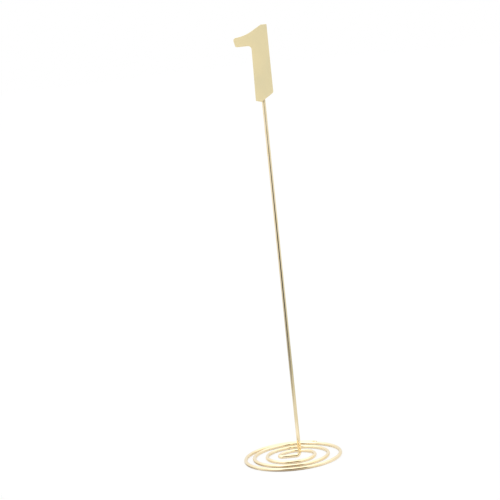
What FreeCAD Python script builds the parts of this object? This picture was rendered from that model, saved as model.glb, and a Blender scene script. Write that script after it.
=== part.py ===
import FreeCAD, Part
import math
import os
import Sketcher

# Table number holder. One round wire makes the stem, the bend at its foot and a flat spiral base;
# a figure 1 cut from sheet is brazed to a flat at the top of the stem.
# +Z is up, the table is Z = 0, the figure faces -Y, and the origin is the centre of the outer turn.

SIZES = [
    # the wire and the stem
    ("wire_diameter", 3.0),
    ("holder_height", 366.5),
    ("stem_offset", 5.85),
    ("foot_bend_radius", 3.0),
    ("end_chamfer", 0.3),
    # the flat spiral: quarter turns that shrink inwards from the outer turn
    ("ring_radius", 40.5),
    ("quarter_step", 2.5),
    ("step_growth", 0.06),
    ("eye_radius", 14.4),
    ("hairpin_radius", 3.4),
    # where the cut end of the outer turn comes to rest against the turn inside it
    ("weld_angle", 61.6),
    ("weld_gap", 0.15),
    ("weld_radius", 1.6),
    ("weld_inset", 2.0),
    ("weld_crown", 0.2),
    # the flat at the top of the stem that the figure is brazed to
    ("lap_length", 10.0),
    ("seat_depth", 0.3),
    ("seat_runout", 0.5),
    ("braze_start", 3.4),
    ("braze_length", 6.0),
    ("braze_leg", 1.6),
    ("braze_rise", 0.9),
    ("braze_hollow", 1.6),
    # the figure, measured across from the stem's axis and down from its top
    ("plate_thickness", 1.5),
    ("plate_height", 63.0),
    ("edge_round", 0.25),
    ("stroke_right", 8.7),
    ("stroke_left", 5.5),
    ("stroke_flare", 0.85),
    ("vertex_offset", 1.9),
    ("right_rise", 6.8),
    ("left_rise", 1.4),
    ("crown_width", 4.9),
    ("flag_bend_run", 10.0),
    ("flag_bend_drop", 8.05),
    ("tip_reach", 20.2),
    ("tip_drop", 8.9),
    ("tip_slant", 1.7),
    ("underside_drop", 16.4),
    ("corner_radius", 0.5),
    ("shoulder_radius", 2.5),
    ("tip_radius", 2.3),
    ("tip_base_radius", 1.5),
    ("root_radius", 2.9),
    ("flag_sweep_run", 7.1),
]
QUARTER_TURNS = 9
# The corner whose rounding is set by how far it reaches along its sides, not by its radius.
SWEPT_CORNER = "flag_bend"

# Formulas that more than one piece uses.
WIRE_RADIUS = "Sizes.wire_diameter / 2"
BEND_TOP = "(Sizes.wire_diameter / 2 + Sizes.foot_bend_radius)"
PLATE_BOTTOM = "(Sizes.holder_height - Sizes.plate_height)"
STEM_TOP = "(Sizes.holder_height - Sizes.plate_height + Sizes.lap_length)"
SEAT_PLANE = "(Sizes.wire_diameter / 2 - Sizes.seat_depth)"
WELD_REACH = "(Sizes.ring_radius - Sizes.quarter_step + Sizes.wire_diameter + Sizes.weld_gap)"


def make_sheet(doc):
    """Writes the driving dimensions, in millimetres and degrees, to the sheet."""
    sheet = doc.addObject("Spreadsheet::Sheet", "Sizes")
    for row, (name, value) in enumerate(SIZES, start=1):
        sheet.set(f"A{row}", name)
        sheet.set(f"B{row}", str(value))
        sheet.setAlias(f"B{row}", name)
    doc.recompute()
    return sheet


def origin_plane(body, role):
    """Finds one of a body's own origin planes."""
    return next(f for f in body.Origin.OriginFeatures if f.Role == role)


def new_sketch(body, name, role, offset=None):
    """Adds a sketch on an origin plane, moved along that plane's normal by a formula."""
    sketch = body.newObject("Sketcher::SketchObject", name)
    sketch.AttachmentSupport = [(origin_plane(body, role), "")]
    sketch.MapMode = "FlatFace"
    if offset:
        sketch.setExpression("AttachmentOffset.Base.z", offset)
    return sketch


def dimension(sketch, name, formula, *constraint):
    """Adds a dimensional constraint that follows a formula."""
    index = sketch.addConstraint(Sketcher.Constraint(*constraint))
    sketch.renameConstraint(index, name)
    sketch.setExpression("Constraints." + name, formula)


def quarter_radius(turn):
    """Gives the formula of a quarter turn's radius, counted inwards from the outer turn."""
    return f"(Sizes.ring_radius - {turn} * Sizes.quarter_step - {turn * (turn - 1) / 2} * Sizes.step_growth)"


def quarter_turns(sheet):
    """Gives the centre and radius of each quarter turn, for the sketch's first shape."""
    turns = []
    x = y = 0.0
    outer = sheet.ring_radius
    for turn in range(1, QUARTER_TURNS + 1):
        radius = sheet.ring_radius - turn * sheet.quarter_step - turn * (turn - 1) / 2 * sheet.step_growth
        angle = (turn - 1) * math.pi / 2
        x += (outer - radius) * math.cos(angle)
        y += (outer - radius) * math.sin(angle)
        turns.append((x, y, radius, angle))
        outer = radius
    return turns


def add_arc(sketch, x, y, radius, start, end):
    """Adds an arc to a sketch, anticlockwise between two angles in radians."""
    circle = Part.Circle(FreeCAD.Vector(x, y, 0), FreeCAD.Vector(0, 0, 1), radius)
    return sketch.addGeometry(Part.ArcOfCircle(circle, start, end), False)


def add_line(sketch, x1, y1, x2, y2, construction=False):
    """Adds a straight line to a sketch."""
    line = Part.LineSegment(FreeCAD.Vector(x1, y1, 0), FreeCAD.Vector(x2, y2, 0))
    return sketch.addGeometry(line, construction)


def spiral_path(body, sheet):
    """Draws the centre line of the base: spoke, hairpin, eye, quarter turns, outer and closing turn."""
    sketch = new_sketch(body, "SpiralPath", "XY_Plane", WIRE_RADIUS)
    turns = quarter_turns(sheet)
    last_x, last_y, last_radius, last_angle = turns[-1]
    eye_start = last_angle + math.pi / 2
    eye_x = last_x + (last_radius - sheet.eye_radius) * math.cos(eye_start)
    eye_y = last_y + (last_radius - sheet.eye_radius) * math.sin(eye_start)
    hairpin_y = sheet.hairpin_radius
    inner = sheet.eye_radius - sheet.hairpin_radius
    hairpin_x = eye_x - math.sqrt(inner ** 2 - (hairpin_y - eye_y) ** 2)
    meeting = math.pi - math.asin((hairpin_y - eye_y) / inner)
    spoke_end = sheet.stem_offset - sheet.foot_bend_radius

    spoke = add_line(sketch, spoke_end, 0, hairpin_x, 0)
    hairpin = add_arc(sketch, hairpin_x, hairpin_y, sheet.hairpin_radius, meeting, 3 * math.pi / 2)
    eye = add_arc(sketch, eye_x, eye_y, sheet.eye_radius, math.pi / 2, meeting)
    quarters = []
    for x, y, radius, angle in turns:
        angle = angle % (2 * math.pi)
        quarters.append(add_arc(sketch, x, y, radius, angle, angle + math.pi / 2))
    outer = add_arc(sketch, 0, 0, sheet.ring_radius, math.pi, 2 * math.pi)
    reach = sheet.ring_radius - sheet.quarter_step + sheet.wire_diameter + sheet.weld_gap
    end_x = sheet.quarter_step + reach * math.cos(math.radians(sheet.weld_angle))
    end_y = reach * math.sin(math.radians(sheet.weld_angle))
    span = end_x + sheet.ring_radius
    closing_radius = (span ** 2 + end_y ** 2) / (2 * span)
    closing_x = closing_radius - sheet.ring_radius
    closing = add_arc(sketch, closing_x, 0, closing_radius, math.atan2(end_y, end_x - closing_x), math.pi)

    start, end, centre = 1, 2, 3
    # the outer half turn, about the origin
    sketch.addConstraint(Sketcher.Constraint("Coincident", outer, centre, -1, 1))
    dimension(sketch, "outer_radius", "Sizes.ring_radius", "Radius", outer, sheet.ring_radius)
    sketch.addConstraint(Sketcher.Constraint("PointOnObject", outer, start, -1))
    sketch.addConstraint(Sketcher.Constraint("PointOnObject", outer, end, -1))
    # each quarter turn inwards runs on from the one outside it and ends level with its own centre
    before = outer
    for turn, quarter in enumerate(quarters, start=1):
        sketch.addConstraint(Sketcher.Constraint("Tangent", before, end, quarter, start))
        radius = turns[turn - 1][2]
        dimension(sketch, f"quarter_{turn}", quarter_radius(turn), "Radius", quarter, radius)
        level = "Vertical" if turn % 2 else "Horizontal"
        sketch.addConstraint(Sketcher.Constraint(level, quarter, centre, quarter, end))
        before = quarter
    # the eye, the hairpin and the spoke that leads to the stem
    sketch.addConstraint(Sketcher.Constraint("Tangent", before, end, eye, start))
    dimension(sketch, "eye", "Sizes.eye_radius", "Radius", eye, sheet.eye_radius)
    sketch.addConstraint(Sketcher.Constraint("Tangent", eye, end, hairpin, start))
    dimension(sketch, "hairpin", "Sizes.hairpin_radius", "Radius", hairpin, sheet.hairpin_radius)
    sketch.addConstraint(Sketcher.Constraint("Tangent", hairpin, end, spoke, end))
    sketch.addConstraint(Sketcher.Constraint("Horizontal", spoke))
    sketch.addConstraint(Sketcher.Constraint("PointOnObject", spoke, start, -1))
    spoke_formula = "Sizes.stem_offset - Sizes.foot_bend_radius"
    dimension(sketch, "spoke_end", spoke_formula, "DistanceX", -1, 1, spoke, start, spoke_end)
    # the closing turn, from the left of the outer turn to where its cut end is welded
    sketch.addConstraint(Sketcher.Constraint("Tangent", closing, end, outer, start))
    across = f"Sizes.quarter_step + {WELD_REACH} * cos(Sizes.weld_angle * 1deg)"
    along = f"{WELD_REACH} * sin(Sizes.weld_angle * 1deg)"
    dimension(sketch, "weld_x", across, "DistanceX", -1, 1, closing, start, end_x)
    dimension(sketch, "weld_y", along, "DistanceY", -1, 1, closing, start, end_y)
    return sketch


def wire_section(body, sheet):
    """Draws the wire's round section at the spoke's end, and the axis that the foot bends about."""
    offset = "Sizes.stem_offset - Sizes.foot_bend_radius"
    sketch = new_sketch(body, "WireSection", "YZ_Plane", offset)
    radius = sheet.wire_diameter / 2
    circle = Part.Circle(FreeCAD.Vector(0, radius, 0), FreeCAD.Vector(0, 0, 1), radius)
    section = sketch.addGeometry(circle, False)
    bend_top = radius + sheet.foot_bend_radius
    axis = add_line(sketch, -radius, bend_top, radius, bend_top, construction=True)
    sketch.addConstraint(Sketcher.Constraint("PointOnObject", section, 3, -2))
    dimension(sketch, "radius", WIRE_RADIUS, "Radius", section, radius)
    dimension(sketch, "lift", WIRE_RADIUS, "DistanceY", -1, 1, section, 3, radius)
    sketch.addConstraint(Sketcher.Constraint("Symmetric", axis, 1, axis, 2, -2))
    dimension(sketch, "axis_length", "Sizes.wire_diameter", "DistanceX", axis, 1, axis, 2, 2 * radius)
    dimension(sketch, "axis_lift", BEND_TOP, "DistanceY", -1, 1, axis, 1, bend_top)
    return sketch


def stem_section(body, sheet):
    """Draws the stem's section where it leaves the foot bend."""
    sketch = new_sketch(body, "StemSection", "XY_Plane", BEND_TOP)
    radius = sheet.wire_diameter / 2
    centre = FreeCAD.Vector(sheet.stem_offset, 0, 0)
    section = sketch.addGeometry(Part.Circle(centre, FreeCAD.Vector(0, 0, 1), radius), False)
    sketch.addConstraint(Sketcher.Constraint("PointOnObject", section, 3, -1))
    dimension(sketch, "radius", WIRE_RADIUS, "Radius", section, radius)
    dimension(sketch, "offset", "Sizes.stem_offset", "DistanceX", -1, 1, section, 3, sheet.stem_offset)
    return sketch


def seat_outline(body, sheet):
    """Draws the strip that is milled off the front of the stem's top to seat the figure."""
    sketch = new_sketch(body, "SeatOutline", "XZ_Plane", SEAT_PLANE)
    half = sheet.wire_diameter
    low = sheet.holder_height - sheet.plate_height - sheet.seat_runout
    high = sheet.holder_height - sheet.plate_height + sheet.lap_length + sheet.wire_diameter
    left = sheet.stem_offset - half
    right = sheet.stem_offset + half
    corners = [(left, low), (right, low), (right, high), (left, high)]
    sides = []
    for (x1, y1), (x2, y2) in zip(corners, corners[1:] + corners[:1]):
        sides.append(add_line(sketch, x1, y1, x2, y2))
    for side, following in zip(sides, sides[1:] + sides[:1]):
        sketch.addConstraint(Sketcher.Constraint("Coincident", side, 2, following, 1))
    for side, level in zip(sides, ("Horizontal", "Vertical", "Horizontal", "Vertical")):
        sketch.addConstraint(Sketcher.Constraint(level, side))
    bottom = sides[0]
    top = sides[2]
    dimension(sketch, "left", "Sizes.stem_offset - Sizes.wire_diameter", "DistanceX", -1, 1, bottom, 1, left)
    width = "2 * Sizes.wire_diameter"
    dimension(sketch, "width", width, "DistanceX", bottom, 1, bottom, 2, right - left)
    dimension(sketch, "low", f"{PLATE_BOTTOM} - Sizes.seat_runout", "DistanceY", -1, 1, bottom, 1, low)
    dimension(sketch, "high", f"{STEM_TOP} + Sizes.wire_diameter", "DistanceY", -1, 1, top, 1, high)
    return sketch


def chamfer_end(doc, body, name, centre, radius):
    """Takes the sharp rim off a cut end of the wire, whose edges are the only ones near its centre."""
    base = body.Tip
    rim = []
    for index, edge in enumerate(base.Shape.Edges, start=1):
        if edge.CenterOfMass.distanceToPoint(centre) < radius:
            rim.append(f"Edge{index}")
    chamfer = body.newObject("PartDesign::Chamfer", name)
    chamfer.Base = (base, rim)
    chamfer.setExpression("Size", "Sizes.end_chamfer")
    doc.recompute()


def make_wire_stand(doc, sheet):
    """Bends the stand from one wire: spiral base, foot bend, stem, seat and trimmed ends."""
    body = doc.addObject("PartDesign::Body", "WireStand")
    body.Label = "wire_stand"
    path = spiral_path(body, sheet)
    section = wire_section(body, sheet)
    doc.recompute()

    base = body.newObject("PartDesign::AdditivePipe", "SpiralBase")
    base.Profile = section
    base.Spine = (path, [])
    base.Mode = "Frenet"
    doc.recompute()

    bend = body.newObject("PartDesign::Revolution", "FootBend")
    bend.Profile = section
    bend.ReferenceAxis = (section, ["Axis0"])
    bend.Angle = 90
    bend.Reversed = True
    doc.recompute()

    stem = body.newObject("PartDesign::Pad", "Stem")
    stem.Profile = stem_section(body, sheet)
    stem.setExpression("Length", f"{STEM_TOP} - {BEND_TOP}")
    doc.recompute()

    radius = sheet.wire_diameter / 2
    coil_end = path.getPoint(len(path.Geometry) - 1, 1)
    chamfer_end(doc, body, "CoilEnd", FreeCAD.Vector(coil_end.x, coil_end.y, radius), radius)
    stem_top = sheet.holder_height - sheet.plate_height + sheet.lap_length
    chamfer_end(doc, body, "StemEnd", FreeCAD.Vector(sheet.stem_offset, 0, stem_top), radius)

    seat = body.newObject("PartDesign::Pocket", "Seat")
    seat.Profile = seat_outline(body, sheet)
    seat.Type = "Length"
    seat.setExpression("Length", "Sizes.wire_diameter")
    seat.Reversed = True
    doc.recompute()
    return body


def figure_corners(sheet):
    """Gives the figure's sharp corners: name, distance from the stem, height, both formulas, rounding."""
    height = "Sizes.plate_height"
    flag_bend = "-Sizes.tip_reach + Sizes.flag_bend_run"
    tip_bottom = "-Sizes.tip_reach + Sizes.tip_slant"
    rows = [
        ("vertex", "-Sizes.vertex_offset", "0", "corner_radius"),
        ("shoulder", "Sizes.stroke_right", "Sizes.right_rise", "shoulder_radius"),
        ("crown_right", "Sizes.stroke_right", height, "corner_radius"),
        ("crown_left", "Sizes.stroke_right - Sizes.crown_width", height, "corner_radius"),
        (SWEPT_CORNER, flag_bend, f"{height} - Sizes.flag_bend_drop", "flag_sweep_run"),
        ("tip_top", "-Sizes.tip_reach", f"{height} - Sizes.tip_drop", "tip_radius"),
        ("tip_bottom", tip_bottom, f"{height} - Sizes.underside_drop", "tip_base_radius"),
        ("root", "-Sizes.stroke_left", f"{height} - Sizes.underside_drop", "root_radius"),
        ("heel", "-Sizes.stroke_left - Sizes.stroke_flare", "Sizes.left_rise", "corner_radius"),
    ]
    corners = []
    for name, across, up, rounding in rows:
        across = f"Sizes.stem_offset + ({across})"
        up = f"{PLATE_BOTTOM} + ({up})"
        x = float(sheet.evalExpression(across.replace("Sizes.", "")))
        z = float(sheet.evalExpression(up.replace("Sizes.", "")))
        corners.append((name, across, up, rounding, FreeCAD.Vector(x, z, 0)))
    return corners


def figure_outline(body, sheet):
    """Draws the figure 1 as straight edges through its sharp corners, joined by tangent roundings."""
    sketch = new_sketch(body, "FigureOutline", "XZ_Plane", SEAT_PLANE)
    corners = figure_corners(sheet)
    count = len(corners)
    points = [corner[-1] for corner in corners]
    leaving = []
    arriving = []
    arcs = []
    for index, (name, across, up, rounding, point) in enumerate(corners):
        back = (points[index - 1] - point).normalize()
        ahead = (points[(index + 1) % count] - point).normalize()
        half = back.getAngle(ahead) / 2
        size = float(getattr(sheet, rounding))
        run = size if name == SWEPT_CORNER else size / math.tan(half)
        radius = run * math.tan(half)
        arriving.append(point + back * run)
        leaving.append(point + ahead * run)
        centre = point + (back + ahead).normalize() * (radius / math.sin(half))
        convex = back.cross(ahead).z < 0
        ends = (arriving[-1], leaving[-1]) if convex else (leaving[-1], arriving[-1])
        angles = [math.atan2(end.y - centre.y, end.x - centre.x) for end in ends]
        if angles[1] < angles[0]:
            angles[1] += 2 * math.pi
        arcs.append((add_arc(sketch, centre.x, centre.y, radius, *angles), convex))
    lines = []
    for index in range(count):
        following = arriving[(index + 1) % count]
        lines.append(add_line(sketch, leaving[index].x, leaving[index].y, following.x, following.y))
    for index, (name, across, up, rounding, point) in enumerate(corners):
        mark = sketch.addGeometry(Part.Point(point), True)
        dimension(sketch, name + "_x", across, "DistanceX", -1, 1, mark, 1, point.x)
        dimension(sketch, name + "_z", up, "DistanceY", -1, 1, mark, 1, point.y)
        sketch.addConstraint(Sketcher.Constraint("PointOnObject", mark, 1, lines[index - 1]))
        sketch.addConstraint(Sketcher.Constraint("PointOnObject", mark, 1, lines[index]))
        arc, convex = arcs[index]
        first, second = (1, 2) if convex else (2, 1)
        sketch.addConstraint(Sketcher.Constraint("Tangent", lines[index - 1], 2, arc, first))
        sketch.addConstraint(Sketcher.Constraint("Tangent", arc, second, lines[index], 1))
        size = float(getattr(sheet, rounding))
        if name == SWEPT_CORNER:
            ends = (mark, 1, lines[index - 1], 2)
            dimension(sketch, name + "_run", "Sizes." + rounding, "Distance", *ends, size)
        else:
            dimension(sketch, name + "_radius", "Sizes." + rounding, "Radius", arc, size)
    return sketch


def make_number_plate(doc, sheet):
    """Cuts the figure 1 from sheet and takes the burr off its edges."""
    body = doc.addObject("PartDesign::Body", "NumberPlate")
    body.Label = "number_plate"
    blank = body.newObject("PartDesign::Pad", "Blank")
    blank.Profile = figure_outline(body, sheet)
    blank.setExpression("Length", "Sizes.plate_thickness")
    doc.recompute()

    broad_faces = []
    for index, face in enumerate(blank.Shape.Faces, start=1):
        if abs(face.normalAt(0, 0).y) > 0.99:
            broad_faces.append(f"Face{index}")
    rounded = body.newObject("PartDesign::Fillet", "EdgeRound")
    rounded.Base = (blank, broad_faces)
    rounded.setExpression("Radius", "Sizes.edge_round")
    doc.recompute()
    return body


def make_braze(doc, sheet):
    """Fills the corner between the stem and the back of the figure, to the right of the stem."""
    body = doc.addObject("PartDesign::Body", "PlateBrazeRight")
    body.Label = "plate_braze_right"
    sketch = new_sketch(body, "BrazeSection", "XY_Plane", f"{PLATE_BOTTOM} + Sizes.braze_start")
    radius = sheet.wire_diameter / 2
    seat = radius - sheet.seat_depth
    low = math.asin(-seat / radius)
    high = math.asin(-(seat - sheet.braze_rise) / radius)
    stem = FreeCAD.Vector(sheet.stem_offset, 0, 0)
    root = stem + FreeCAD.Vector(radius * math.cos(low), -seat, 0)
    top = stem + FreeCAD.Vector(radius * math.cos(high), radius * math.sin(high), 0)
    toe = root + FreeCAD.Vector(sheet.braze_leg, 0, 0)
    chord = top - toe
    away = FreeCAD.Vector(chord.y, -chord.x, 0).normalize()
    hollow = (top + toe) * 0.5 + away * math.sqrt(sheet.braze_hollow ** 2 - (chord.Length / 2) ** 2)
    angle_toe = math.atan2(toe.y - hollow.y, toe.x - hollow.x)
    angle_top = math.atan2(top.y - hollow.y, top.x - hollow.x)

    on_wire = add_arc(sketch, stem.x, 0, radius, low, high)
    on_plate = add_line(sketch, root.x, root.y, toe.x, toe.y)
    face = add_arc(sketch, hollow.x, hollow.y, sheet.braze_hollow, angle_top, angle_toe)
    sketch.addConstraint(Sketcher.Constraint("Coincident", on_wire, 1, on_plate, 1))
    sketch.addConstraint(Sketcher.Constraint("Coincident", on_plate, 2, face, 2))
    sketch.addConstraint(Sketcher.Constraint("Coincident", face, 1, on_wire, 2))
    sketch.addConstraint(Sketcher.Constraint("Horizontal", on_plate))
    sketch.addConstraint(Sketcher.Constraint("PointOnObject", on_wire, 3, -1))
    dimension(sketch, "stem", "Sizes.stem_offset", "DistanceX", -1, 1, on_wire, 3, stem.x)
    dimension(sketch, "wire", WIRE_RADIUS, "Radius", on_wire, radius)
    dimension(sketch, "seat", f"-{SEAT_PLANE}", "DistanceY", -1, 1, on_plate, 1, -seat)
    dimension(sketch, "leg", "Sizes.braze_leg", "Distance", on_plate, sheet.braze_leg)
    dimension(sketch, "rise", f"Sizes.braze_rise - {SEAT_PLANE}", "DistanceY", -1, 1, on_wire, 2, top.y)
    dimension(sketch, "hollow", "Sizes.braze_hollow", "Radius", face, sheet.braze_hollow)
    fill = body.newObject("PartDesign::Pad", "BrazeFill")
    fill.Profile = sketch
    fill.setExpression("Length", "Sizes.braze_length")
    doc.recompute()
    return body


def mirror_braze(doc, braze):
    """Fills the same corner on the left of the stem."""
    mirrored = doc.addObject("Part::Mirroring", "PlateBrazeLeft")
    mirrored.Label = "plate_braze_left"
    mirrored.Source = braze
    mirrored.Normal = FreeCAD.Vector(1, 0, 0)
    mirrored.setExpression("Base.x", "Sizes.stem_offset")
    doc.recompute()
    return mirrored


def make_coil_end_weld(doc, wire_stand):
    """Lays a small bead in the groove between the outer turn's cut end and the turn inside it."""
    bead = doc.addObject("Part::Sphere", "WeldBead")
    bead.Angle1 = 0
    bead.setExpression("Radius", "Sizes.weld_radius")
    groove = f"({WELD_REACH} - (Sizes.wire_diameter + Sizes.weld_gap) / 2)"
    turn = "(Sizes.weld_angle * 1deg)"
    across = f"Sizes.quarter_step + {groove} * cos{turn} - Sizes.weld_inset * sin{turn}"
    bead.setExpression("Placement.Base.x", across)
    bead.setExpression("Placement.Base.y", f"{groove} * sin{turn} + Sizes.weld_inset * cos{turn}")
    bead.setExpression("Placement.Base.z", "Sizes.wire_diameter + Sizes.weld_crown - Sizes.weld_radius")
    weld = doc.addObject("Part::Cut", "CoilEndWeld")
    weld.Label = "coil_end_weld"
    weld.Base = bead
    weld.Tool = wire_stand
    doc.recompute()
    return weld


def check(doc, pieces):
    """Stops when an object failed or a piece has no sound solid."""
    for thing in doc.Objects:
        if "Invalid" in thing.State or "Error" in thing.State:
            raise RuntimeError(f"{thing.Name} is {thing.State}")
    for piece in pieces:
        shape = piece.Shape
        if shape.isNull() or not shape.isValid() or not shape.Solids:
            raise RuntimeError(f"{piece.Label} has no sound solid")
        box = shape.optimalBoundingBox()
        print(
            f"{piece.Label}: {len(shape.Solids)} solid, {shape.Volume:.2f} mm3,"
            f" X {box.XMin:.2f} to {box.XMax:.2f}, Y {box.YMin:.2f} to {box.YMax:.2f},"
            f" Z {box.ZMin:.2f} to {box.ZMax:.2f}"
        )


doc = FreeCAD.newDocument("table_number_holder")
sheet = make_sheet(doc)
wire_stand = make_wire_stand(doc, sheet)
plate_braze_right = make_braze(doc, sheet)
pieces = [
    wire_stand,
    make_number_plate(doc, sheet),
    plate_braze_right,
    mirror_braze(doc, plate_braze_right),
    make_coil_end_weld(doc, wire_stand),
]
doc.recompute()
check(doc, pieces)
os.makedirs("parts", exist_ok=True)
for piece in pieces:
    piece.Shape.exportStep(os.path.join("parts", piece.Label + ".step"))
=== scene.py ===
import math

import bmesh
import bpy
from mathutils import Matrix, Vector, noise


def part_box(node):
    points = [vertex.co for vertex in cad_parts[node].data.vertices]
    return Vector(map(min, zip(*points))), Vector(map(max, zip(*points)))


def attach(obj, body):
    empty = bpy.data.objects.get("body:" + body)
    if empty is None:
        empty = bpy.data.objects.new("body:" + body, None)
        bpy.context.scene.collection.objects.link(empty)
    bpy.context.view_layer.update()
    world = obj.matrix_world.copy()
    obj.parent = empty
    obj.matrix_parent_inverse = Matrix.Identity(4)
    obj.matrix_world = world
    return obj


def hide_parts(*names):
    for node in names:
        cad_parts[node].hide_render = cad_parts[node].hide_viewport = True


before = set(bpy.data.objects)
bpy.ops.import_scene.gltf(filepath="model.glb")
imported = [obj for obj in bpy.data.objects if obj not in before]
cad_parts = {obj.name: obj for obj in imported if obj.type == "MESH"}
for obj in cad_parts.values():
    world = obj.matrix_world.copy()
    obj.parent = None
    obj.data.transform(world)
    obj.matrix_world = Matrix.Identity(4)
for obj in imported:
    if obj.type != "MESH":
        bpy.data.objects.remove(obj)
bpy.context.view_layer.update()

# ---------------------------------------------------------------- the wire stand
# One length of 3 mm bright drawn steel wire. It is bent cold round formers, from the trimmed end of
# the outer turn inwards to the eye, back along a short spoke and up at the foot into the stem, whose
# top has a small flat milled on its front for the figure.
MM = 0.001
stand_low, stand_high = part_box("wire_stand")
WIRE_DIAMETER = 3.0
WIRE_RADIUS = WIRE_DIAMETER / 2
STEM_X = 5.85
STEM_TOP = stand_high.z / MM
SEAT_START = 303.0
SEAT_STEP = 0.01
SEAT_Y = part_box("number_plate")[1].y / MM
FOOT_RADIUS = 3.0
OUTER_RADIUS = -stand_low.x / MM - WIRE_RADIUS
QUARTER_TURNS = 9
QUARTER_STEP = 2.5
STEP_GROWTH = 0.06
EYE_RADIUS = 14.4
HAIRPIN_RADIUS = 3.4
END_ANGLE = math.radians(61.6)
END_GAP = 0.15
END_TRIM = 0.3
CHORD_TURN = math.radians(4)
CHORD_LENGTH = 1.2
FOOT_CHORDS = 24
STEM_STEPS = 60
WIRE_SIDES = 32
WIRE_SHARP_ANGLE = math.radians(35)


def bend(points, heading, radius, sweep):
    """Runs the wire on round a bend to the left, in short chords, and returns its new heading."""
    centre = points[-1] + 1j * radius * complex(math.cos(heading), math.sin(heading))
    chords = math.ceil(max(sweep / CHORD_TURN, sweep * radius / CHORD_LENGTH))
    spoke = points[-1] - centre
    for chord in range(1, chords + 1):
        turn = sweep * chord / chords
        points.append(centre + spoke * complex(math.cos(turn), math.sin(turn)))
    return heading + sweep


def add_object(name, data):
    """Makes an object of that data and puts it in the scene."""
    made = bpy.data.objects.new(name, data)
    bpy.context.scene.collection.objects.link(made)
    return made


# the closing turn runs from the trimmed end to the left of the outer turn, tangent to it there
reach = OUTER_RADIUS - QUARTER_STEP + WIRE_DIAMETER + END_GAP
coil_end = complex(QUARTER_STEP + reach * math.cos(END_ANGLE), reach * math.sin(END_ANGLE))
span = coil_end.real + OUTER_RADIUS
closing_radius = (span ** 2 + coil_end.imag ** 2) / (2 * span)
start = math.atan2(coil_end.imag, coil_end.real - (closing_radius - OUTER_RADIUS))
coil = [coil_end]
heading = bend(coil, start + math.pi / 2, closing_radius, math.pi - start)
heading = bend(coil, heading, OUTER_RADIUS, math.pi)
for turn in range(1, QUARTER_TURNS + 1):
    quarter_radius = OUTER_RADIUS - turn * QUARTER_STEP - turn * (turn - 1) / 2 * STEP_GROWTH
    heading = bend(coil, heading, quarter_radius, math.pi / 2)
# the eye runs on until a hairpin inside it can turn the wire along the spoke, which lies on y = 0
eye_centre = coil[-1] + 1j * EYE_RADIUS * complex(math.cos(heading), math.sin(heading))
rise = HAIRPIN_RADIUS - eye_centre.imag
eye_sweep = math.pi / 2 - math.asin(rise / (EYE_RADIUS - HAIRPIN_RADIUS))
heading = bend(coil, heading, EYE_RADIUS, eye_sweep)
bend(coil, heading, HAIRPIN_RADIUS, math.pi - eye_sweep)
route = [Vector((p.real, p.imag, WIRE_RADIUS)) for p in coil]
for chord in range(FOOT_CHORDS + 1):
    turn = math.pi / 2 * chord / FOOT_CHORDS
    x = STEM_X - FOOT_RADIUS + FOOT_RADIUS * math.sin(turn)
    route.append(Vector((x, 0, WIRE_RADIUS + FOOT_RADIUS * (1 - math.cos(turn)))))
stem_foot = WIRE_RADIUS + FOOT_RADIUS
for step in range(1, STEM_STEPS):
    route.append(Vector((STEM_X, 0, stem_foot + (SEAT_START - stem_foot) * step / STEM_STEPS)))
# two points close together give the flat a square step, and two at the top take the rim off
for z in (SEAT_START - SEAT_STEP, SEAT_START, STEM_TOP - END_TRIM, STEM_TOP):
    route.append(Vector((STEM_X, 0, z)))
# the trimmed coil end has its rim filed off too, so one more point stands just inside it
route.insert(1, route[0] + (route[1] - route[0]).normalized() * END_TRIM)
trim = [1.0] * len(route)
trim[0] = trim[-1] = 1 - END_TRIM / WIRE_RADIUS

line = bpy.data.meshes.new("wire_route")
line.from_pydata([p * MM for p in route], [(i, i + 1) for i in range(len(route) - 1)], [])
line.attributes.new("trim", "FLOAT", "POINT").data.foreach_set("value", trim)
wire = add_object("wire_stand_finish", line)


def add_node(tree, kind, inputs=(), **settings):
    """Adds a node with its settings. Each input is a value, or an output socket to link it to."""
    node = tree.nodes.new(kind)
    for name, value in settings.items():
        setattr(node, name, value)
    for name, value in dict(inputs).items():
        if isinstance(value, bpy.types.NodeSocket):
            tree.links.new(value, node.inputs[name])
        else:
            node.inputs[name].default_value = value
    return node


def new_material(name):
    """Makes an empty material and returns it with its node tree."""
    material = bpy.data.materials.new(name)
    material.use_nodes = True
    material.node_tree.nodes.clear()
    return material, material.node_tree


def linear(colour):
    """Turns an sRGB hex colour into linear values with an alpha of 1."""
    channels = [int(colour[i:i + 2], 16) / 255 for i in (1, 3, 5)]
    return [c / 12.92 if c <= 0.04045 else ((c + 0.055) / 1.055) ** 2.4 for c in channels] + [1]


# Bright gold electroplate over polished steel wire. The mirror shine carries the room round the
# stand, faint draw lines run along the wire, and the deposit is a little warmer in slow patches.
gold_plate, tree = new_material("bright_gold_plate_on_drawn_wire")
run = add_node(tree, "ShaderNodeAttribute", attribute_name="run")
section = add_node(tree, "ShaderNodeAttribute", attribute_name="section")
section_parts = add_node(tree, "ShaderNodeSeparateXYZ", {0: section.outputs["Vector"]})
along = add_node(
    tree, "ShaderNodeCombineXYZ",
    {0: run.outputs["Fac"], 1: section_parts.outputs[0], 2: section_parts.outputs[1]},
)
# draw lines 0.35 mm apart round the wire and about 20 mm long, coarser than a die leaves them
draw_lines = add_node(
    tree, "ShaderNodeTexNoise",
    {"Vector": add_node(tree, "ShaderNodeVectorMath", {0: along.outputs[0], 1: (0.018, 1, 1)},
                        operation="MULTIPLY").outputs[0],
     "Scale": 2800.0, "Detail": 3.0, "Roughness": 0.6},
)
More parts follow.
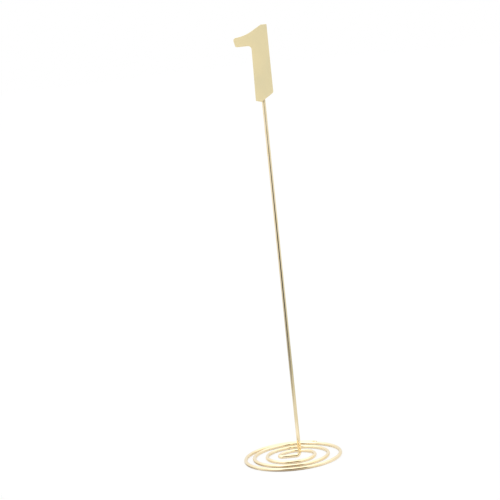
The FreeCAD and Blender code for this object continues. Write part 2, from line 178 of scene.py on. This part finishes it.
# patches of the deposit, some 9 mm long
deposit = add_node(
    tree, "ShaderNodeTexNoise",
    {"Vector": along.outputs[0], "Scale": 110.0, "Detail": 2.0, "Roughness": 0.5},
)
tone = add_node(
    tree, "ShaderNodeMix",
    {"Factor": add_node(tree, "ShaderNodeMapRange",
                        {"Value": deposit.outputs["Fac"], "From Min": 0.3, "From Max": 0.7}).outputs[0],
     6: linear("#F8E8C8"), 7: linear("#F3E0B6")},
    data_type="RGBA",
)
polish = add_node(
    tree, "ShaderNodeMapRange",
    {"Value": draw_lines.outputs["Fac"], "From Min": 0.3, "From Max": 0.7, "To Min": 0.05, "To Max": 0.1},
)
relief = add_node(
    tree, "ShaderNodeBump",
    {"Height": draw_lines.outputs["Fac"], "Strength": 0.06, "Distance": 0.00002},
)
shader = add_node(
    tree, "ShaderNodeBsdfPrincipled",
    {"Base Color": tone.outputs[2], "Metallic": 1.0, "Roughness": polish.outputs[0],
     "Normal": relief.outputs[0]},
)
add_node(tree, "ShaderNodeOutputMaterial", {"Surface": shader.outputs[0]})

# The tree draws a round section along the route and keeps the run and the place round the section.
sweep = bpy.data.node_groups.new("wire_sweep", "GeometryNodeTree")
for name, kind in (
    ("Route", "Geometry"), ("Wire Diameter", "Float"), ("Sides", "Int"), ("Finish", "Material"),
):
    sweep.interface.new_socket(name, in_out="INPUT", socket_type="NodeSocket" + kind)
sweep.interface.new_socket("Wire", in_out="OUTPUT", socket_type="NodeSocketGeometry")
given = add_node(sweep, "NodeGroupInput")
curve = add_node(sweep, "GeometryNodeMeshToCurve", {0: given.outputs["Route"]})
spline = add_node(sweep, "GeometryNodeSplineParameter")
curve = add_node(
    sweep, "GeometryNodeStoreNamedAttribute",
    {"Geometry": curve.outputs[0], "Name": "run", "Value": spline.outputs["Length"]}, data_type="FLOAT",
)
radius = add_node(
    sweep, "ShaderNodeMath", {0: given.outputs["Wire Diameter"], 1: 0.5}, operation="MULTIPLY"
)
circle = add_node(
    sweep, "GeometryNodeCurvePrimitiveCircle",
    {"Resolution": given.outputs["Sides"], "Radius": radius.outputs[0]},
)
place = add_node(sweep, "GeometryNodeInputPosition")
circle = add_node(
    sweep, "GeometryNodeStoreNamedAttribute",
    {"Geometry": circle.outputs[0], "Name": "section"}, data_type="FLOAT_VECTOR",
)
sweep.links.new(place.outputs[0], [i for i in circle.inputs if i.name == "Value" and i.enabled][0])
rim = add_node(sweep, "GeometryNodeInputNamedAttribute", {"Name": "trim"}, data_type="FLOAT")
tube = add_node(
    sweep, "GeometryNodeCurveToMesh",
    {"Curve": curve.outputs[0], "Profile Curve": circle.outputs[0], "Scale": rim.outputs[0],
     "Fill Caps": True},
)
tube = add_node(sweep, "GeometryNodeSetShadeSmooth", {"Geometry": tube.outputs[0]})
tube = add_node(sweep, "GeometryNodeRealizeInstances", {"Geometry": tube.outputs[0]})
tube = add_node(
    sweep, "GeometryNodeSetMaterial", {"Geometry": tube.outputs[0], "Material": given.outputs["Finish"]}
)
add_node(sweep, "NodeGroupOutput", {0: tube.outputs[0]})
modifier = wire.modifiers.new("wire_sweep", "NODES")
modifier.node_group = sweep
sockets = {item.name: item.identifier for item in sweep.interface.items_tree if item.in_out == "INPUT"}
modifier[sockets["Wire Diameter"]] = WIRE_DIAMETER * MM
modifier[sockets["Sides"]] = WIRE_SIDES
modifier[sockets["Finish"]] = gold_plate
swept = wire.evaluated_get(bpy.context.evaluated_depsgraph_get())
mesh = bpy.data.meshes.new_from_object(swept)
wire.modifiers.clear()
wire.data = mesh
# the flat is milled from its start to the top of the stem
for vertex in mesh.vertices:
    if vertex.co.z > (SEAT_START - SEAT_STEP / 2) * MM:
        vertex.co.y = max(vertex.co.y, SEAT_Y * MM)
mesh.set_sharp_from_angle(angle=WIRE_SHARP_ANGLE)
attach(wire, "root")
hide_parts("wire_stand")

# ---------------------------------------------------------------- the figure
# The figure 1 is cut from 1.5 mm steel sheet, its burr taken off, and finished in satin gold
# lacquer. It is the CAD piece itself, lapped 10 mm down the front of the stem.
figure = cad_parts["number_plate"]

# Satin champagne gold lacquer with fine mica. It scatters the light, so the face looks one even
# tone, with a faint cloudiness in its colour and a fine orange peel.
lacquer, tree = new_material("satin_gold_lacquer")
where = add_node(tree, "ShaderNodeTexCoord")
# clouds some 30 mm across, slid along until a light one lies on the flag
slid = add_node(tree, "ShaderNodeVectorMath", {0: where.outputs["Object"], 1: (0.0, 0.0, 0.124)})
cloud = add_node(
    tree, "ShaderNodeTexNoise",
    {"Vector": slid.outputs[0], "Scale": 32.0, "Detail": 2.0, "Roughness": 0.4},
)
mica = add_node(
    tree, "ShaderNodeTexNoise",
    {"Vector": where.outputs["Object"], "Scale": 2600.0, "Detail": 1.0, "Roughness": 0.5},
)
cloudy_tone = add_node(
    tree, "ShaderNodeMix",
    {"Factor": add_node(tree, "ShaderNodeMapRange",
                        {"Value": cloud.outputs["Fac"], "From Min": 0.3, "From Max": 0.7}).outputs[0],
     6: linear("#E4D7AC"), 7: linear("#F4E2AF")},
    data_type="RGBA",
)
# the mica's sparkle is painted into the colour as paler specks, painted glints
glint = add_node(
    tree, "ShaderNodeMix",
    {"Factor": add_node(tree, "ShaderNodeMapRange",
                        {"Value": mica.outputs["Fac"], "From Min": 0.52, "From Max": 0.75,
                         "To Max": 0.35}).outputs[0],
     6: cloudy_tone.outputs[2], 7: linear("#F4E9C6")},
    data_type="RGBA",
)
relief = add_node(
    tree, "ShaderNodeBump",
    {"Height": cloud.outputs["Fac"], "Strength": 0.05, "Distance": 0.0002},
)
shader = add_node(
    tree, "ShaderNodeBsdfPrincipled",
    {"Base Color": glint.outputs[2], "Metallic": 0.15, "Roughness": 0.45, "Normal": relief.outputs[0]},
)
add_node(tree, "ShaderNodeOutputMaterial", {"Surface": shader.outputs[0]})
figure.data.materials.clear()
figure.data.materials.append(lacquer)

# ---------------------------------------------------------------- the braze at the figure
# Two runs of brass filler lie in the corners between the stem and the back of the figure. They are
# drawn in by the heat, so each one is hollow across, uneven along and thins out at its ends.
braze_low, braze_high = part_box("plate_braze_right")
BRAZE_START = braze_low.z / MM
BRAZE_LEG, BRAZE_RISE, BRAZE_LENGTH = (braze_high - braze_low) / MM
BRAZE_SAG = 0.28
BRAZE_RIPPLE = 0.16
BRAZE_ROWS = 22
SAG_STEPS = 6
SUNK_IN_WIRE = 0.35
SUNK_AT_TOP = 0.25
SUNK_IN_PLATE = 0.04
BRAZE_SHARP_ANGLE = math.radians(50)


def braze_run(name, side):
    """Makes the run of filler on one side of the stem, as a closed skin sunk a little into both."""
    skin = bmesh.new()
    rings = []
    for row in range(BRAZE_ROWS + 1):
        up = row / BRAZE_ROWS
        z = BRAZE_START + BRAZE_LENGTH * up
        # full over most of the run, thin but not nothing at its two ends, and uneven by a little
        fullness = math.sin(math.pi * (0.04 + 0.92 * up)) ** 0.35
        fullness *= 0.92 + BRAZE_RIPPLE * noise.noise((side * 7.0, 0.0, z * 0.9))
        low = math.asin(SEAT_Y / WIRE_RADIUS)
        high = math.asin((SEAT_Y + BRAZE_RISE * fullness) / WIRE_RADIUS)
        corner = WIRE_RADIUS * math.cos(low)
        foot = corner + BRAZE_LEG * fullness
        top_x = WIRE_RADIUS * math.cos(high)
        top_y = WIRE_RADIUS * math.sin(high)
        sunk_y = SEAT_Y - SUNK_IN_PLATE
        outline = [(corner - SUNK_IN_WIRE, sunk_y), (foot, sunk_y)]
        for step in range(SAG_STEPS + 1):
            share = step / SAG_STEPS
            sag = BRAZE_SAG * fullness * math.sin(math.pi * share)
            outline.append((
                foot + (top_x - foot) * share - sag * 0.6,
                SEAT_Y + (top_y - SEAT_Y) * share - sag,
            ))
        outline.append((top_x - SUNK_AT_TOP, top_y))
        rings.append([
            skin.verts.new(Vector((STEM_X + side * x, y, z)) * MM) for x, y in outline
        ])
    for below, above in zip(rings, rings[1:]):
        for i in range(len(below)):
            j = (i + 1) % len(below)
            skin.faces.new((below[i], below[j], above[j], above[i]))
    skin.faces.new(rings[0])
    skin.faces.new(rings[-1])
    bmesh.ops.recalc_face_normals(skin, faces=skin.faces)
    data = bpy.data.meshes.new(name)
    skin.to_mesh(data)
    skin.free()
    data.shade_smooth()
    data.set_sharp_from_angle(angle=BRAZE_SHARP_ANGLE)
    return add_object(name, data)


# Brass filler under gold plate: the same gold, over a skin that froze slightly rippled, so it is
# duller than the drawn wire and a shade redder.
filler, tree = new_material("gold_plated_brass_filler")
where = add_node(tree, "ShaderNodeTexCoord")
ripple = add_node(
    tree, "ShaderNodeTexNoise",
    {"Vector": where.outputs["Object"], "Scale": 900.0, "Detail": 3.0, "Roughness": 0.6},
)
skin_tone = add_node(
    tree, "ShaderNodeMix",
    {"Factor": ripple.outputs["Fac"], 6: linear("#E9CD96"), 7: linear("#D9B878")}, data_type="RGBA",
)
dull = add_node(
    tree, "ShaderNodeMapRange", {"Value": ripple.outputs["Fac"], "To Min": 0.22, "To Max": 0.42}
)
relief = add_node(
    tree, "ShaderNodeBump", {"Height": ripple.outputs["Fac"], "Strength": 0.35, "Distance": 0.0001}
)
shader = add_node(
    tree, "ShaderNodeBsdfPrincipled",
    {"Base Color": skin_tone.outputs[2], "Metallic": 1.0, "Roughness": dull.outputs[0],
     "Normal": relief.outputs[0]},
)
add_node(tree, "ShaderNodeOutputMaterial", {"Surface": shader.outputs[0]})
for name, side in (("left", -1), ("right", 1)):
    run_of_braze = braze_run("braze_" + name, side)
    run_of_braze.data.materials.append(filler)
    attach(run_of_braze, "root")
    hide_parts("plate_braze_" + name)

# ---------------------------------------------------------------- the weld at the coil's end
# A tack of filler in the groove between the trimmed end and the turn inside it. It wetted both
# wires and froze as a low rounded lump, a little longer than it is wide.
WELD_INSET = 2.0
WELD_LENGTH = 1.9
WELD_WIDTH = 1.35
WELD_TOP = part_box("coil_end_weld")[1].z / MM
WELD_RIPPLE = 0.06
groove = reach - (WIRE_DIAMETER + END_GAP) / 2
weld_at = Vector((
    QUARTER_STEP + groove * math.cos(END_ANGLE) - WELD_INSET * math.sin(END_ANGLE),
    groove * math.sin(END_ANGLE) + WELD_INSET * math.cos(END_ANGLE),
    WELD_TOP - WELD_WIDTH,
))
lump = bmesh.new()
bmesh.ops.create_icosphere(lump, subdivisions=4, radius=1.0)
turn_to_groove = Matrix.Rotation(END_ANGLE, 3, "Z")
for vertex in lump.verts:
    swell = 1 - WELD_RIPPLE * (1 + noise.noise(vertex.co * 2.2))
    shaped = Vector((vertex.co.x * WELD_WIDTH, vertex.co.y * WELD_LENGTH, vertex.co.z * WELD_WIDTH))
    vertex.co = (weld_at + turn_to_groove @ (shaped * swell)) * MM
data = bpy.data.meshes.new("coil_end_tack")
lump.to_mesh(data)
lump.free()
data.shade_smooth()
tack = add_object("coil_end_tack", data)
tack.data.materials.append(filler)
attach(tack, "root")
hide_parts("coil_end_weld")

# ---------------------------------------------------------------- the table and the light
# A white table top in a white room with soft light all round. Its front edge runs aslant and comes
# within 190 mm of the stand on the left. It is lifted to white for the eye. Bright metal sees its paint
# instead, with painted shade in its colour: a soft shade before the foot and one at its left, and
# painted dimming, darkest 400 mm away.
EDGE_DISTANCE = 0.19
EDGE_SLANT = math.radians(45)
TABLE_SIZE = 12.0
LIFT_FOR_EYE = 0.88
LIFT_FOR_METAL = 0.2
GLOW = 1.08
# the middles of the two painted shades, of which the left one is narrowed by that factor
SHADE_AT = (-0.008, -0.046, 0.0)
LEFT_SHADE_AT = (-0.044, -0.014, 0.0)
LEFT_SHADE_NARROWING = 1.3
FAR = 2.0

data = bpy.data.meshes.new("table")
data.from_pydata(
    [(-TABLE_SIZE, -EDGE_DISTANCE, 0), (TABLE_SIZE, -EDGE_DISTANCE, 0),
     (TABLE_SIZE, TABLE_SIZE, 0), (-TABLE_SIZE, TABLE_SIZE, 0)],
    [], [(0, 1, 2, 3)],
)
data.transform(Matrix.Rotation(-EDGE_SLANT, 4, "Z"))
table = add_object("table", data)


def lay_stops(ramp, stops):
    """Gives a colour ramp its stops, each a position from 0 to 1 and a linear colour."""
    while len(ramp.elements) < len(stops):
        ramp.elements.new(1.0)
    for element, (position, colour) in zip(ramp.elements, stops):
        element.position = position
    for element, (position, colour) in zip(ramp.elements, stops):
        element.color = colour


white, tree = new_material("white_table_top")
path = add_node(tree, "ShaderNodeLightPath")
where = add_node(tree, "ShaderNodeTexCoord")
off_shade = add_node(
    tree, "ShaderNodeVectorMath", {0: where.outputs["Object"], 1: SHADE_AT}, operation="DISTANCE"
)
off_left = add_node(
    tree, "ShaderNodeVectorMath", {0: where.outputs["Object"], 1: LEFT_SHADE_AT}, operation="DISTANCE"
)
off_left = add_node(
    tree, "ShaderNodeMath", {0: off_left.outputs["Value"], 1: LEFT_SHADE_NARROWING}, operation="MULTIPLY"
)
off_both = add_node(
    tree, "ShaderNodeMath", {0: off_shade.outputs["Value"], 1: off_left.outputs[0]}, operation="MINIMUM"
)
reach_out = add_node(tree, "ShaderNodeMapRange", {"Value": off_both.outputs[0], "From Max": FAR})
# The painted shade that metal sees on the table, by the distance in metres from the nearer shade's
# middle. The ramp runs over the square root of that distance, which leaves room for the stops near the
# foot.
near = add_node(tree, "ShaderNodeMath", {0: reach_out.outputs[0]}, operation="SQRT")
shading = add_node(tree, "ShaderNodeValToRGB", {"Fac": near.outputs[0]})
shading.color_ramp.interpolation = "EASE"
painted_shade_tones = [
    (0.008, "#BAB3AE"), (0.04, "#FFFFFF"), (0.045, "#FFFFFF"), (0.12, "#E4E5E0"), (0.19, "#E4E5DF"),
    (0.4, "#C2C4BA"), (0.65, "#D6D8D0"), (1.2, "#E6E7E1"), (2.0, "#EDEEEA"),
]
lay_stops(shading.color_ramp, [(math.sqrt(metres / FAR), linear(colour)) for metres, colour in painted_shade_tones])
# glossy rays see the paint with the painted shade in its colour, all other rays the plain white paint
tone = add_node(
    tree, "ShaderNodeMix",
    {"Factor": path.outputs["Is Glossy Ray"], 6: linear("#F8F8F8"), 7: shading.outputs[0]},
    data_type="RGBA",
)
paint = add_node(tree, "ShaderNodeBsdfDiffuse", {"Color": tone.outputs[2]})
glow = add_node(tree, "ShaderNodeEmission", {"Color": tone.outputs[2], "Strength": GLOW})
by_eye = add_node(
    tree, "ShaderNodeMath", {0: path.outputs["Is Camera Ray"], 1: path.outputs["Is Transmission Ray"]},
    operation="MAXIMUM",
)
by_metal = add_node(
    tree, "ShaderNodeMath", {0: path.outputs["Is Glossy Ray"], 1: LIFT_FOR_METAL}, operation="MULTIPLY"
)
lift = add_node(
    tree, "ShaderNodeMath", {0: by_eye.outputs[0], 1: LIFT_FOR_EYE, 2: by_metal.outputs[0]},
    operation="MULTIPLY_ADD",
)
top = add_node(tree, "ShaderNodeMixShader", {0: lift.outputs[0], 1: paint.outputs[0], 2: glow.outputs[0]})
add_node(tree, "ShaderNodeOutputMaterial", {"Surface": top.outputs[0]})
table.data.materials.append(white)

# The room: white to the eye and as light. Bright metal also sees the dark space that the camera
# stands in, a strip some 33 degrees to each side of it, from the table's edge to above the camera.
# The strip spreads out just over the table, where the floor and what stands on it show.
STRIP_CORE = math.radians(24)
STRIP_END = math.radians(42)

world = bpy.data.worlds.new("white_room")
bpy.context.scene.world = world
world.use_nodes = True
tree = world.node_tree
tree.nodes.clear()
where = add_node(tree, "ShaderNodeTexCoord")
way = add_node(tree, "ShaderNodeSeparateXYZ", {0: where.outputs["Generated"]})
front = add_node(tree, "ShaderNodeMath", {0: way.outputs["Y"], 1: -1.0}, operation="MULTIPLY")
bearing = add_node(tree, "ShaderNodeMath", {0: way.outputs["X"], 1: front.outputs[0]}, operation="ARCTAN2")
aside = add_node(tree, "ShaderNodeMath", {0: bearing.outputs[0]}, operation="ABSOLUTE")
height = add_node(tree, "ShaderNodeMath", {0: way.outputs["Z"]}, operation="ARCSINE")
level = add_node(
    tree, "ShaderNodeMapRange",
    {"Value": height.outputs[0], "From Min": -math.pi / 2, "From Max": math.pi / 2},
)
breadth = add_node(tree, "ShaderNodeValToRGB", {"Fac": level.outputs[0]})
narrowed = add_node(
    tree, "ShaderNodeMath", {0: aside.outputs[0], 1: breadth.outputs[0]}, operation="DIVIDE"
)
strip = add_node(
    tree, "ShaderNodeMapRange",
    {"Value": narrowed.outputs[0], "From Min": STRIP_CORE, "From Max": STRIP_END,
     "To Min": 1.0, "To Max": 0.0},
    interpolation_type="SMOOTHSTEP",
)
in_strip = add_node(tree, "ShaderNodeValToRGB", {"Fac": level.outputs[0]})
beside = add_node(tree, "ShaderNodeValToRGB", {"Fac": level.outputs[0]})


def grey(brightness):
    """Gives the linear grey of that brightness, where 1 is white."""
    return (brightness, brightness, brightness, 1)


# what each shows, and how broad the strip is, by the angle above the level in degrees
dark = linear("#504226")
strip_light = [
    (-90, grey(1.0)), (-16, grey(1.0)), (-14.5, grey(0.9)), (-13.6, grey(0.78)), (-13, grey(0.5)),
    (-12.4, grey(0.27)), (-11, grey(0.1)), (-10, grey(0.04)), (-7, grey(0.03)), (-5, grey(0.1)),
    (-3, grey(0.5)), (1, grey(0.6)), (3, dark), (42, dark), (54, grey(1.5)),
]
side_light = [
    (-90, grey(1.0)), (-16, grey(1.0)), (-14.5, grey(0.8)), (-13.6, grey(0.6)), (-13, grey(0.42)),
    (-12.2, grey(0.37)), (-10, grey(0.7)), (-8, grey(0.88)), (-5, grey(0.97)), (-3, grey(1.0)),
    (0, grey(0.95)), (15, grey(0.95)), (30, grey(1.1)), (50, grey(1.5)),
]
strip_breadth = [
    (-90, grey(1.0)), (-14, grey(1.6)), (-12, grey(1.6)), (-11, grey(1.3)), (-9, grey(1.05)),
    (-7, grey(1.0)), (-3, grey(0.8)), (0, grey(0.9)), (3, grey(1.0)), (90, grey(1.0)),
]
for node, stops in ((in_strip, strip_light), (beside, side_light), (breadth, strip_breadth)):
    lay_stops(node.color_ramp, [((degrees + 90) / 180, colour) for degrees, colour in stops])
seen_by_metal = add_node(
    tree, "ShaderNodeMix",
    {"Factor": strip.outputs[0], 6: beside.outputs[0], 7: in_strip.outputs[0]}, data_type="RGBA",
)
path = add_node(tree, "ShaderNodeLightPath")
colour = add_node(
    tree, "ShaderNodeMix",
    {"Factor": path.outputs["Is Glossy Ray"], 6: grey(1.0), 7: seen_by_metal.outputs[2]},
    data_type="RGBA",
)
background = add_node(tree, "ShaderNodeBackground", {"Color": colour.outputs[2], "Strength": 1.0})
add_node(tree, "ShaderNodeOutputWorld", {"Surface": background.outputs[0]})

# One wide soft lamp high on the left gives the stand its faint shadow.
LAMP_AT = Vector((-0.9, -0.7, 2.0))
LAMP_AIM = Vector((0, 0, 0.1))
LAMP_SIZE = 1.6
LAMP_POWER = 4.0

lamp_data = bpy.data.lights.new("soft_lamp", "AREA")
lamp_data.shape = "SQUARE"
lamp_data.size = LAMP_SIZE
lamp_data.energy = LAMP_POWER
lamp = add_object("soft_lamp", lamp_data)
lamp.location = LAMP_AT
lamp.rotation_mode = "QUATERNION"
lamp.rotation_quaternion = (LAMP_AIM - LAMP_AT).to_track_quat("-Z", "Y")

# ---------------------------------------------------------------- the camera
# A long lens 1.3 m before the stand, a little above it, pitched down and tipped to the right.
CAMERA_AT = (-0.0182, -1.3, 0.361)
PITCH = 0.1371
ROLL = math.radians(6.0)
SENSOR_WIDTH = 36.0
LENS = 112.9

right = Vector((1, 0, 0))
up = Vector((0, math.sin(PITCH), math.cos(PITCH)))
ahead = Vector((0, math.cos(PITCH), -math.sin(PITCH)))
camera_x = right * math.cos(ROLL) - up * math.sin(ROLL)
camera_y = right * math.sin(ROLL) + up * math.cos(ROLL)
camera_data = bpy.data.cameras.new("camera")
camera_data.sensor_width = SENSOR_WIDTH
camera_data.lens = LENS
camera = add_object("camera", camera_data)
aim = Matrix((camera_x, camera_y, -ahead)).transposed().to_4x4()
camera.matrix_world = Matrix.Translation(CAMERA_AT) @ aim
bpy.context.scene.camera = camera
bpy.context.scene.view_settings.view_transform = "Standard"
